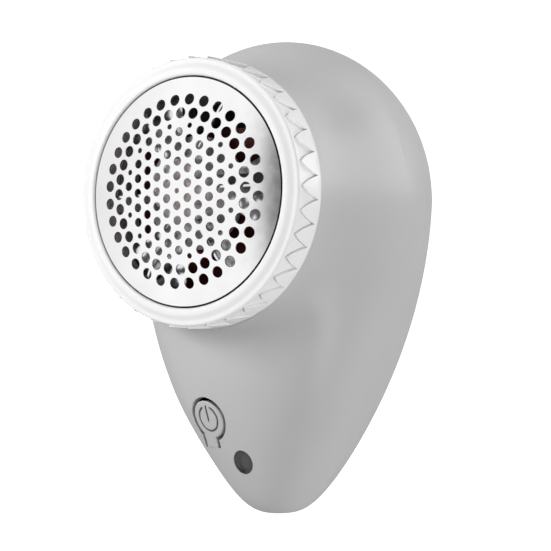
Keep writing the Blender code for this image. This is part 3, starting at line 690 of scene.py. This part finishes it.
def make_button():
    """The moulded tab: it follows the shell's skin, with rounded edges and a sunk power symbol."""
    outline = [(x, y - TAB_OVERLAP * (y <= NECK_END)) for x, y in keyhole(0.0)]
    grid = np.arange(-8.0, 6.0, TAB_SPACING)
    gx, gy = (g.ravel() for g in np.meshgrid(grid, grid))
    gx = gx + np.where(np.round(gy / TAB_SPACING) % 2 == 0, 0.0, TAB_SPACING / 2)
    near = (np.abs(gx) < TAB_HALF[0]) & (gy > NECK_END) & (gy < TAB_HALF[1])
    gx, gy = gx[near], gy[near]
    inside = np.array([inside_outline(Vector(p), [outline]) for p in zip(gx, gy)])
    inside &= outline_distance(gx, gy, outline) > TAB_CLEAR
    points = [Vector(p) for p in outline] + [Vector(p) for p in zip(gx[inside], gy[inside])]
    edges = [(i, (i + 1) % len(outline)) for i in range(len(outline))]
    flat, _, triangles, *_ = delaunay_2d_cdt(points, edges, [], 1, 1e-7)
    x, y = np.array([p.x for p in flat]), np.array([p.y for p in flat])
    lengthened = [(px, py - 5.0 * (py <= NECK_END)) for px, py in outline]  # so the foot has no edge
    edge = np.clip(1 - outline_distance(x, y, lengthened) / TAB_EDGE, 0, 1)
    edge = edge * smoothstep(NECK_END + 0.1, NECK_END + 1.2, y)
    groove = np.clip(1 - icon_distance(x, y) / GROOVE_HALF, 0, 1)
    drop = TAB_DROP * edge**2 + GROOVE_DEPTH * smoothstep(0.0, 1.0, groove)
    drop = drop - TAB_PROUD * smoothstep(NECK_END + 0.6, NECK_END, y)
    top = on_front(BUTTON_AT, x, y, -drop) / MM
    bottom = on_front(BUTTON_AT, x, y, -TAB_T) / MM
    index = {(p.x, p.y): i for i, p in enumerate(flat)}
    button = sheet_body(
        "power_tab", flat, triangles,
        lambda px, py: bottom[index[(px, py)]], lambda px, py: top[index[(px, py)]],
    )
    start = on_front(BUTTON_AT, np.zeros(1), np.zeros(1), -1.0)[0] / MM
    cut(button, "UNION", rod("tab_post", POST_R, start, (start[0], POST_END, start[2])))
    set_skin_normals(button)
    dress(button, "button", "power_button")
    # painted shade in the symbol's groove, darker than the tab's own grey
    paint_groove_shade(button)


def make_lens():
    """The indicator's smoked window, sunk in its hole, with a flange behind the shell."""
    levels = (
        (-1.7, -1.30), (-0.7, -1.30), (-0.42, -1.22), (-0.24, -1.02), (-0.14, -0.70), (-0.09, -0.34),
        (-0.06, -0.27), (-0.03, -0.36), (-0.03, -3.2), (0.5, -3.5), (0.6, -3.7), (0.6, -4.1),
    )
    lens = front_stack("indicator_window", LENS_AT, lens_outline, levels)
    dress(lens, "housing", "indicator_lens")


# ---- rear cover, screws, drawer, socket

BIN_HALF_WIDTH, BIN_LOW, BIN_HIGH = 12.0, 12.8, 23.2
BIN_FRONT, BIN_WALL = 17.4, 1.2
COVER_BACK = EGG_DEPTH + EGG_BACK


def rectangle(low_x, low_y, high_x, high_y, radius, steps=6):
    return rounded([(low_x, low_y), (high_x, low_y), (high_x, high_y), (low_x, high_y)], radius, steps)


def make_rear_cover():
    """The back shell, with screw bosses, and openings for the bin and the charging socket."""
    n, edge, start = SKIN_TURNS, SKIN_EDGE, PARTING + GAP
    outer = skin_rows(n, start + edge, COVER_BACK - BACK_POLE, 60)
    lip = skin_rows(n, start, start + edge, 1, edge)[:1]
    inner = skin_rows(n, start, COVER_BACK - WALL - BACK_POLE, 24, WALL)[::-1]
    poles = skin(np.array([0.0, 0.0]), np.array([math.pi, math.pi]), 0.0)
    cover = ring_mesh(
        "housing_rear", inner + lip + outer, poles[0] - np.array([0, WALL, 0]), poles[1]
    )
    posts, holes = [], []
    for i, (x, height, seat) in enumerate(COVER_SCREWS):
        wall = 70.2 if height > 0 else 67.2
        posts.append(rod(f"cover_boss_{i}", BOSS_R, (x, 63.9, height), (x, wall, height)))
        holes.append(rod(f"cover_head_{i}", 2.4, (x, seat, height), (x, 80.0, height)))
        holes.append(rod(f"cover_hole_{i}", PILOT_R, (x, 60.0, height), (x, 75.0, height)))
    cut(cover, "UNION", *posts)
    gap = GAP / MM
    window = rectangle(-BIN_HALF_WIDTH - gap, BIN_LOW - gap, BIN_HALF_WIDTH + gap, BIN_HIGH + gap, 1.6)
    holes.append(prism("bin_window", [window], 55.0, 85.0))
    holes.append(prism("charging_port", [rectangle(-4.9, -41.9, 4.9, -37.9, 1.9)], 55.0, 85.0))
    cut(cover, "DIFFERENCE", *holes)
    set_skin_normals(cover)
    dress(cover, "housing", "rear_cover")


def make_lint_bin():
    """The drawer, whose back is part of the skin, with a finger scoop at its lower edge."""
    outer = skin_rows(SKIN_TURNS, PARTING - 3 * MM, COVER_BACK - BACK_POLE, 60)
    pole = skin(np.array([0.0]), np.array([math.pi]))[0]
    cap = ring_mesh("bin_cap", outer, (0.0, PARTING - 50 * MM, 0.0), pole)
    outside = rectangle(-BIN_HALF_WIDTH, BIN_LOW, BIN_HALF_WIDTH, BIN_HIGH, 1.3)
    drawer = prism("lint_drawer", [outside], BIN_FRONT, 85.0)
    block = prism("bin_back", [rectangle(-40, -40, 40, 40, 1.0)], 62.0, 90.0)
    cut(block, "DIFFERENCE", cap)
    half, low, high = BIN_HALF_WIDTH - BIN_WALL, BIN_LOW + BIN_WALL, BIN_HIGH - BIN_WALL
    hollow = rectangle(-half, low, half, high, 0.9)
    inside = prism("bin_inside", [hollow], BIN_FRONT - 5, 66.5)
    scoop = rod("bin_scoop", 3.0, (-5, 76.2, BIN_LOW - 0.4), (5, 76.2, BIN_LOW - 0.4))
    cut(drawer, "DIFFERENCE", block, inside, scoop)
    set_skin_normals(drawer)
    dress(drawer, "bin", "lint_bin")


def make_cover_screws():
    """Cross-recessed pan-head screws."""
    for i, (x, height, seat) in enumerate(COVER_SCREWS):
        profile = [
            (0, seat + 1.95), (0.9, seat + 1.9), (1.5, seat + 1.65), (1.9, seat + 1.2), (2.0, seat + 0.9),
            (2.0, seat + 0.35), (1.05, seat + 0.35), (1.05, 58.2), (0.5, 57.6), (0, 57.6),
        ]
        screw = turned(f"cover_screw_{i + 1}_fine", profile, 48, (x, height))
        bars = []
        for name, wide, tall in (("flat", 1.25, 0.28), ("upright", 0.28, 1.25)):
            outline = rectangle(x - wide, height - tall, x + wide, height + tall, 0.1, 2)
            bars.append(prism(f"recess_{name}_{i}", [outline], seat + 1.0, seat + 3.0))
        cut(screw, "DIFFERENCE", *bars)
        dress(screw, "housing", f"cover_screw_{i + 1}")


def make_socket():
    """The charging socket: a drawn steel mouth with its tongue."""
    mouth = rectangle(-3.9, -41.0, 3.9, -38.8, 1.0)
    socket = prism("charging_socket", [rectangle(-4.45, -41.5, 4.45, -38.3, 1.4)], 59.4, 66.4)
    cut(socket, "DIFFERENCE", prism("socket_mouth", [mouth], 60.4, 68.0))
    dress(socket, "housing", "usb_socket")
    tongue = prism("socket_tongue", [rectangle(-3.0, -40.25, 3.0, -39.55, 0.2, 2)], 60.5, 65.4)
    dress(tongue, "housing", slot_name="black_plastic")


# ---- cutting head

TEETH, STEPS_PER_TOOTH = 36, 16
TOOTH_FRONT, TOOTH_REAR = 4.1, 10.1  # depths of the step line's valleys and peaks
RING_R, RING_REAR = 29.72, 11.4
POCKET_R, POCKET_TAPER = 29.20, 0.02
POCKET_FRONT = 3.79  # just behind the rounding of the ring's front
STEP_GROOVE = 0.24  # the fine groove along the foot of the step


def make_cap_ring():
    """The white ring: a flat front, a soft cove, and a grip band with triangular pockets."""
    count = TEETH * STEPS_PER_TOOTH
    turn = even_turns(count)
    phase = (np.arange(count) / STEPS_PER_TOOTH + 0.5 - TEETH / 4) % 1.0
    climb = np.abs(2 * phase - 1)
    line = TOOTH_FRONT + (TOOTH_REAR - TOOTH_FRONT) * (0.45 * climb + 0.55 * climb**2)

    def row(radius, depth):
        radius, depth = np.broadcast_to(radius, count), np.broadcast_to(depth, count)
        return np.stack([radius * np.sin(turn), depth, radius * np.cos(turn)], -1) * MM

    def pocket(depth):
        return POCKET_R - POCKET_TAPER * (depth - TOOTH_FRONT)

    quarter = np.linspace(0.0, math.pi / 2, 6)
    front = [(25.25, 3.5)]
    front += [(25.82 - 0.57 * math.cos(a), 3.17 - 0.57 * math.sin(a)) for a in quarter]
    front += [(r, 2.6 + 0.62 * smoothstep(26.6, 28.2, r)) for r in np.linspace(26.7, 28.4, 9)]
    front += [(28.65 + 0.55 * math.sin(a), 3.77 - 0.55 * math.cos(a)) for a in quarter]
    rows = [row(r, d) for r, d in front]
    foot = line - STEP_GROOVE
    for share in (0.15, 0.4, 0.7, 1.0):
        depth = POCKET_FRONT + (foot - POCKET_FRONT) * share
        rows.append(row(pocket(depth), depth))
    rows.append(row(pocket(line) - STEP_GROOVE, line))
    rows.append(row(RING_R - 0.06, line + 0.05))
    rows.append(row(RING_R, line + 0.14))
    for share in (0.25, 0.5, 0.75, 1.0):
        depth = line + 0.14 + (RING_REAR - 0.45 - line - 0.14) * share
        rows.append(row(RING_R, depth))
    rows += [row(RING_R - 0.1, RING_REAR - 0.15), row(RING_R - 0.35, RING_REAR), row(27.7, RING_REAR)]
    rows += [row(27.6, RING_REAR - 0.1), row(27.6, 4.5), row(25.3, 3.9)]
    ring = smooth(ring_mesh("grip_ring", rows), 28)
    dress(ring, "ring", "cap_ring")


OUTER_RINGS = ((19.98, 5.625), (16.96, 0.0))  # each outer ring of holes: radius, first hole's angle
RING_HOLES = 32
RING_HOLE_R, FIELD_HOLE_R, SMALL_HOLE_R = 1.235, 0.99, 0.6
SMALL_HOLES_AT = 14.32  # the radius of the ring of small holes
COLUMN_PITCH = HOLE_PITCH * math.sqrt(0.75)
COLUMN_TOPS = (4.0, 3.5, 4.0, 3.5, 2.0, 0.5)  # the top row of each column, from the middle one out
SMALL_HOLE_WAYS = ((1, 4.5), (4, 3.0), (5, 1.5))  # the column and row that each points to


def foil_holes():
    """The perforations as (x, y, radius) in mm: two outer rings, and a hexagonal field inside."""
    holes = []
    for ring_r, start in OUTER_RINGS:
        for i in range(RING_HOLES):
            a = math.radians(start + 360 / RING_HOLES * i)
            holes.append((ring_r * math.sin(a), ring_r * math.cos(a), RING_HOLE_R))
    for column in range(-5, 6):
        top = COLUMN_TOPS[abs(column)]
        for i in range(int(2 * top) + 1):
            x, y = column * COLUMN_PITCH, (top - i) * HOLE_PITCH
            holes.append((x, y, SMALL_HOLE_R if x == y == 0 else FIELD_HOLE_R))
    for column, row in SMALL_HOLE_WAYS:
        a = math.atan2(column * math.sqrt(0.75), row)
        x, y = SMALL_HOLES_AT * math.sin(a), SMALL_HOLES_AT * math.cos(a)
        holes += [(side * x, end * y, SMALL_HOLE_R) for side in (1, -1) for end in (1, -1)]
    return holes


RIM_SIDES, HOLE_SIDES = 192, 28
FOIL_SPACING = 0.8  # between the points of the foil's mesh


def make_foil():
    """The domed steel foil, with round perforations."""
    holes = np.array(foil_holes())
    points, edges = [], []

    def add_loop(x, y, radius, sides):
        start = len(points)
        points.extend(Vector((x + px, y + py)) for px, py in circle(radius, sides))
        edges.extend((start + i, start + (i + 1) % sides) for i in range(sides))

    add_loop(0, 0, FOIL_R, RIM_SIDES)
    for x, y, radius in holes:
        add_loop(x, y, radius, HOLE_SIDES)
    for i in range(-32, 33):
        for k in range(-37, 38):
            x, y = (i + 0.5 * (k % 2)) * FOIL_SPACING, k * FOIL_SPACING * math.sqrt(0.75)
            clear = np.hypot(holes[:, 0] - x, holes[:, 1] - y) - holes[:, 2]
            if clear.min() > 0.3 and math.hypot(x, y) < FOIL_R - 0.4:
                points.append(Vector((x, y)))
    flat, _, triangles, *_ = delaunay_2d_cdt(points, edges, [], 1, 1e-6)
    kept = []
    for t in triangles:
        middle = middle_of(flat, t)
        if (np.hypot(holes[:, 0] - middle.x, holes[:, 1] - middle.y) > holes[:, 2] * 0.985).all():
            kept.append(t)

    def over(x, y):
        return x, FOIL_SAG * (x * x + y * y), y

    def under(x, y):
        return x, FOIL_SAG * (x * x + y * y) + FOIL_T, y

    foil = sheet_body("perforated_foil", flat, kept, under, over)
    dress(foil, "cap", "foil")


def make_head_rings():
    """The turned pieces behind the foil: its seal and holder, and the lint chamber with its floor."""
    outline = [
        (24.4, 3.3), (25.15, 3.32), (25.15, 4.2), (26.7, 4.75), (26.7, 4.95), (25.05, 4.95), (24.4, 3.7),
    ]
    gasket = turned("foil_seal", rounded(outline, 0.06))
    dress(gasket, "cap", "foil_gasket")
    outline = [(23.0, 3.5), (24.3, 3.8), (25.0, 5.3), (25.0, 9.5), (23.6, 9.5), (23.6, 5.0), (23.0, 4.5)]
    dress(turned("foil_holder", rounded(outline, 0.2)), "cap", "foil_carrier")
    outline = [
        (23.4, 9.9), (25.0, 9.9), (25.0, 14.4), (26.4, 14.4), (26.4, 16.0), (24.6, 17.0), (3.3, 17.0),
        (3.3, 15.4), (22.6, 15.4), (23.4, 14.6),
    ]
    cup = turned("lint_chamber", rounded(outline, 0.3))
    cutters = [prism("exit_cut", [rectangle(-9.0, 14.6, 9.0, 20.6, 0.8)], 13.0, 19.0)]
    cutters += [rod(f"motor_hole_{side}", 1.5, (8 * side, 10, 0), (8 * side, 18, 0)) for side in (-1, 1)]
    cut(cup, "DIFFERENCE", *cutters)
    dress(cup, "housing", "cutter_chamber")
    liner = turned("chamber_floor", [(3.6, 15.0), (22.3, 14.6), (22.3, 14.9), (3.6, 15.3)])
    cut(liner, "DIFFERENCE", prism("liner_cut", [rectangle(-9.0, 14.6, 9.0, 26.0, 0.8)], 13.0, 19.0))
    dress(liner, "housing", slot_name="dark_grey_plastic")
    liner.data.materials[0] = MATERIALS["maroon_floor"]


HUB_SLOTS, BLADES = 6, 6
BLADE_LEAN = 0.75  # how far a blade leans along its turn, per unit of depth
BLADE_FROM, BLADE_TO, BLADE_HALF = 7.8, 22.2, 0.3  # a blade's end radii, and half its thickness
BLADE_CLEARANCE, BLADE_HEIGHT, BLADE_BACK = 0.65, 3.6, 6.2
WING_TILT = 0.12  # each steel wing lies a little aslant
WING_FRONT, WING_REAR = 6.15, 6.45


def make_cutter_hub():
    """The moulded hub, with slots in its rim, and the flange round it."""
    outline = [
        (0, 0.9), (2.4, 0.92), (2.6, 1.2), (2.6, 3.0), (3.6, 3.0), (3.6, 1.3), (3.8, 1.0), (5.2, 1.10),
        (6.6, 1.3), (7.2, 1.75), (7.4, 2.4), (7.4, 6.4), (8.6, 6.5), (8.6, 7.9), (5.0, 8.2), (4.2, 12.4),
        (1.35, 12.4), (1.35, 3.4), (0, 3.4),
    ]
    hub = turned("cutter_hub", outline)
    for i in range(HUB_SLOTS):
        turn = Matrix.Rotation(2 * math.pi * (i + 0.5) / HUB_SLOTS, 2)
        corners = [tuple(turn @ Vector(p)) for p in rectangle(4.3, -0.55, 9.0, 0.55, 0.2)]
        cut(hub, "DIFFERENCE", prism(f"hub_slot_{i + 1}", [corners], 0.0, 4.4))
    dress(hub, "cutter", "blade_hub")
    flange = turned("cutter_flange", [(8.62, 6.6), (12.5, 6.7), (12.5, 7.8), (8.62, 7.9)])
    dress(flange, "cutter", slot_name="dark_grey_plastic")


def make_blade(number, radial, across, depth_way):
    """A ground steel blade close behind the foil, which leans back along its turn."""
    steps = 16
    radii = [BLADE_FROM + (BLADE_TO - BLADE_FROM) * i / steps for i in range(steps + 1)]
    edge = [(r, FOIL_SAG * r * r + BLADE_CLEARANCE) for r in radii]
    back = [(r, min(depth + BLADE_HEIGHT, BLADE_BACK)) for r, depth in reversed(edge)]

    def place(r, depth, side):
        lean = BLADE_LEAN * (depth - FOIL_SAG * r * r)
        return tuple(radial * r + across * (side + lean) + depth_way * depth)

    blade = prism(f"cutter_blade_{number}", [edge + back], -BLADE_HALF, BLADE_HALF, place)
    bevel = blade.modifiers.new("ground_edge", "BEVEL")
    bevel.width, bevel.segments, bevel.limit_method = 0.08 * MM, 2, "ANGLE"
    dress(blade, "cutter", f"blade_{number}")


def make_wing(number, radial, across, depth_way):
    """A flat steel wing behind the blades."""
    def place(r, side, depth):
        return tuple(radial * r + across * side + depth_way * (depth + WING_TILT * side))

    outline = [(8.7, 2.4), (8.7, -2.4), (13.0, -5.2), (19.6, -8.0), (21.4, -4.0), (21.8, 0.0)]
    outline += [(21.4, 4.0), (19.6, 8.0), (13.0, 5.2)]
    wing = prism(f"cutter_wing_{number}", [outline], WING_FRONT, WING_REAR, place)
    dress(wing, "cutter", slot_name=NODE_SLOT["blade_1"])


def make_cutter():
    """The spinning cutter: a hub, six blades, and a wing behind every other blade."""
    make_cutter_hub()
    for i in range(BLADES):
        a = 2 * math.pi * i / BLADES
        ways = np.array([[math.cos(a), 0, -math.sin(a)], [math.sin(a), 0, math.cos(a)], [0, 1, 0]])
        make_blade(i + 1, *ways)
        if i % 2 == 0:
            make_wing(i + 1, *ways)


def dress_cad_nodes():
    """The pieces that keep their CAD shape get their finish's material."""
    for name, obj in frame["nodes"].items():
        if not obj.hide_render:
            obj.data.materials.clear()
            obj.data.materials.append(MATERIALS[NODE_SLOT[name]])


# ---- stage


FLOOR = -0.5 * MM  # just under the rounded tip
ROOM_R, ROOM_COVE, ROOM_SIDES = 4.0, 1.0, 48  # in metres
WHITE = (1.0, 1.0, 1.0, 1.0)


def room_material():
    """A matt white that gives out its own light, so that it is even everywhere."""
    mat, nodes, links, bsdf = shader("white_room", (0.8, 0.8, 0.8), 0.9)
    bsdf.inputs["Emission Color"].default_value = WHITE
    bsdf.inputs["Emission Strength"].default_value = 1.0
    drift = noise(nodes, links, 3.0)
    tint(nodes, links, drift, (0.79, 0.79, 0.79), (0.8, 0.8, 0.8), bsdf.inputs["Base Color"])
    return mat


def lattice(name, columns):
    """A sheet through columns of points; columns that meet are joined."""
    bm = bmesh.new()
    grid = [[bm.verts.new(point) for point in column] for column in columns]
    for left, right in zip(grid, grid[1:]):
        for i in range(len(left) - 1):
            bm.faces.new((left[i], right[i], right[i + 1], left[i + 1]))
    bmesh.ops.remove_doubles(bm, verts=bm.verts, dist=1e-5)
    mesh = bpy.data.meshes.new(name)
    bm.to_mesh(mesh)
    bm.free()
    return smooth(add_object(name, mesh))


def make_stage():
    """A white round room: a floor that sweeps up into a wall and a dome on every side."""
    profile = [(0.0, FLOOR)]
    for a in np.linspace(0.0, math.pi / 2, 12):
        profile.append((ROOM_R - ROOM_COVE * (1 - math.sin(a)), FLOOR + ROOM_COVE * (1 - math.cos(a))))
    for a in np.linspace(0.15, math.pi / 2, 12):
        profile.append((ROOM_R * math.cos(a), FLOOR + ROOM_COVE + ROOM_R * math.sin(a)))
    columns = []
    for turn in (*even_turns(ROOM_SIDES), 0.0):
        columns.append([(r * math.cos(turn), r * math.sin(turn), z) for r, z in profile])
    room = lattice("room", columns)
    room.data.materials.append(room_material())
    room.visible_diffuse = room.visible_glossy = room.visible_shadow = False


CARD_R, CARD_HEIGHT = 0.8, 0.07  # the cards' sphere: its radius and its centre's height, in metres
# The foil card's brightness at azimuths from the front: white, then dark towards the right.
CARD_TONES = (
    (-90.0, 0.80), (-60.0, 0.97), (-45.0, 1.08), (-16.0, 1.08), (-10.5, 0.85), (-8.0, 0.35), (-3.0, 0.10),
    (2.0, 0.10), (10.0, 0.35), (60.0, 0.45),
)


def reflection_card(name, low_azimuth, high_azimuth, low_elevation, high_elevation, strength, tones=()):
    """A card, part of a sphere round the object, that is seen only in shiny surfaces."""
    columns = []
    for azimuth in np.radians(np.linspace(low_azimuth, high_azimuth, 25)):
        column = []
        for elevation in np.radians(np.linspace(low_elevation, high_elevation, 9)):
            flat, up = CARD_R * math.cos(elevation), CARD_R * math.sin(elevation)
            column.append((flat * math.cos(azimuth), flat * math.sin(azimuth), CARD_HEIGHT + up))
        columns.append(column)
    card = lattice(name, columns)
    card.rotation_euler = (0.0, 0.0, -math.pi / 2)
    mat, nodes, links, bsdf = shader(f"{name}_white", (0.0, 0.0, 0.0), 1.0)
    bsdf.inputs["Emission Color"].default_value = WHITE
    bsdf.inputs["Emission Strength"].default_value = strength
    if tones:
        place = nodes.new("ShaderNodeTexCoord")
        turn = nodes.new("ShaderNodeTexGradient")
        turn.gradient_type = "RADIAL"
        ramp = nodes.new("ShaderNodeValToRGB")
        links.new(place.outputs["Object"], turn.inputs["Vector"])
        links.new(turn.outputs["Fac"], ramp.inputs["Fac"])
        links.new(ramp.outputs["Color"], bsdf.inputs["Emission Color"])
        for stop, (azimuth, tone) in enumerate(tones):
            element = ramp.color_ramp.elements[stop] if stop < 2 else ramp.color_ramp.elements.new(1.0)
            element.position = azimuth / 360 + 0.5
            element.color = (tone, tone, tone, 1.0)
    card.data.materials.append(mat)
    card.visible_camera = card.visible_diffuse = card.visible_shadow = card.visible_transmission = False


def make_reflection_cards():
    reflection_card("foil_card", -96.0, 72.0, -28.0, 38.0, 1.0, CARD_TONES)
    reflection_card("right_card", 90.0, 150.0, 5.0, 38.0, 2.0)


# Soft boxes, seen from the object: azimuth (0 from the front, 90 from its right), elevation, watts.
LIGHTS = {
    "key": (-40, 15, 3.5),
    "low_fill": (70, -25, 2.0),
    "overhead": (30, 85, 1.0),
    "rim": (150, 50, 2.0),
    "low_rim": (140, -25, 0.8),
}
LIGHT_AIM = (0.0, 0.0, 0.06)  # in metres, like the light's distance, width and height
LIGHT_DISTANCE, LIGHT_WIDTH, LIGHT_HEIGHT = 0.7, 0.2, 0.35
STUDIO_GREY = 0.4


def soft_box(name, azimuth, elevation, power):
    a, e = math.radians(azimuth), math.radians(elevation)
    way = Vector((math.sin(a) * math.cos(e), -math.cos(a) * math.cos(e), math.sin(e)))
    light = bpy.data.lights.new(name, "AREA")
    light.shape = "RECTANGLE"
    light.size, light.size_y = LIGHT_WIDTH, LIGHT_HEIGHT
    light.energy = power
    obj = add_object(name, light)
    obj.location = Vector(LIGHT_AIM) + way * LIGHT_DISTANCE
    obj.rotation_mode = "QUATERNION"
    obj.rotation_quaternion = way.to_track_quat("Z", "Y")
    obj.visible_camera = obj.visible_glossy = False


def make_lights():
    """A dim grey studio all round, and the soft boxes."""
    sky = bpy.data.worlds.new("studio")
    bpy.context.scene.world = sky
    sky.use_nodes = True
    background = sky.node_tree.nodes["Background"]
    background.inputs["Color"].default_value = WHITE
    background.inputs["Strength"].default_value = STUDIO_GREY
    for name, (azimuth, elevation, power) in LIGHTS.items():
        soft_box(name, azimuth, elevation, power)


CAMERA_AT = (0.2174, -0.3289, 0.0420)
CAMERA_WAY = (-0.5517, 0.8334, 0.0327)  # the direction the camera looks in
CAMERA_LENS, CAMERA_SENSOR = 110.05, 36.0


def make_camera():
    camera = add_object("camera", bpy.data.cameras.new("camera"))
    camera.data.lens = CAMERA_LENS
    camera.data.sensor_width = CAMERA_SENSOR
    camera.data.clip_start = 0.01
    camera.location = CAMERA_AT
    camera.rotation_mode = "QUATERNION"
    camera.rotation_quaternion = Vector(CAMERA_WAY).to_track_quat("-Z", "Y")
    bpy.context.scene.camera = camera


# ---- assembly

make_camera()
make_front_shell()
make_button()
make_lens()
make_rear_cover()
make_lint_bin()
make_cover_screws()
make_socket()
make_cap_ring()
make_foil()
make_head_rings()
make_cutter()
dress_cad_nodes()
make_stage()
make_reflection_cards()
make_lights()
bpy.context.scene.view_settings.view_transform = "Standard"
